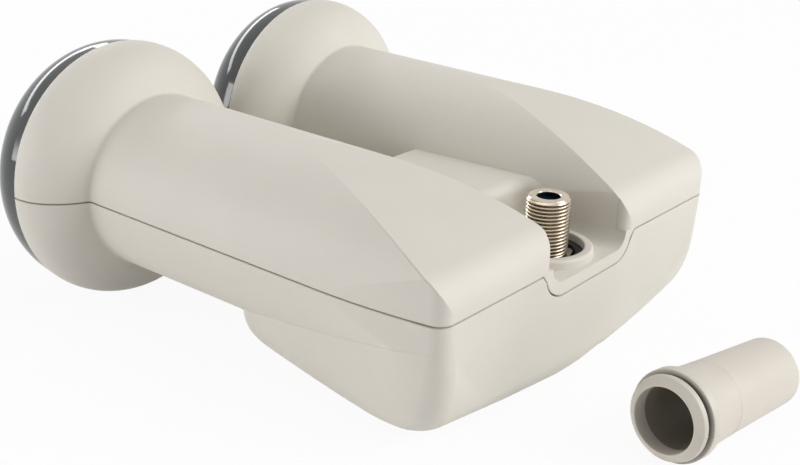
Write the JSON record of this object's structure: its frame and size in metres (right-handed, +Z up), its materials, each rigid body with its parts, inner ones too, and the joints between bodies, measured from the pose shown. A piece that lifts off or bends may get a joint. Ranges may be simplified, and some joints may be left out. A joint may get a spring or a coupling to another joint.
{
  "type": "satellite lnb",
  "caption": "Twin-feed satellite LNB: moulded housing with domed horns on round necks, deep rear hull, recessed F connector and a loose weather sleeve.",
  "frame": {"origin": "on the F connector's axis, level with the two horn axes", "axes": "+Z up along the F connector, +Y along the horns towards their mouths, X from horn to horn"},
  "size_m": [0.1232, 0.1711, 0.0597],
  "materials": {
    "housing": "fine textured moulding",
    "cap": "polished moulding",
    "casting": "die cast",
    "lid": "pressed sheet",
    "seal": "moulded ring",
    "fastener": "zinc plated",
    "board": "solder mask",
    "chip": "moulded package",
    "can": "plated can",
    "pin": "plated wire",
    "bush": "turned insulator",
    "connector": "nickel plate",
    "insulator": "moulded plug",
    "sleeve": "smooth moulding"
  },
  "bodies": {
    "root": {"upper_shell": "housing", "lower_shell": "housing", "feed_cap_left": "cap", "feed_cap_right": "cap", "cap_seal_left": "seal", "cap_seal_right": "seal", "chassis_casting": "casting", "chassis_lid": "lid", "lid_gasket": "seal", "lid_screws": "fastener", "circuit_board": "board", "amplifier_transistors": "chip", "converter_chips": "chip", "switch_chip": "chip", "voltage_regulator": "chip", "crystal_can": "can", "vertical_probe_left": "pin", "vertical_probe_right": "pin", "horizontal_probe_left": "pin", "horizontal_probe_right": "pin", "probe_bushes": "bush", "isolation_pin_left": "pin", "isolation_pin_right": "pin", "f_connector_body": "connector", "f_connector_insulator": "insulator", "f_connector_contact": "pin", "connector_seal": "seal", "weather_sleeve": "sleeve"}
  },
  "joints": []
}
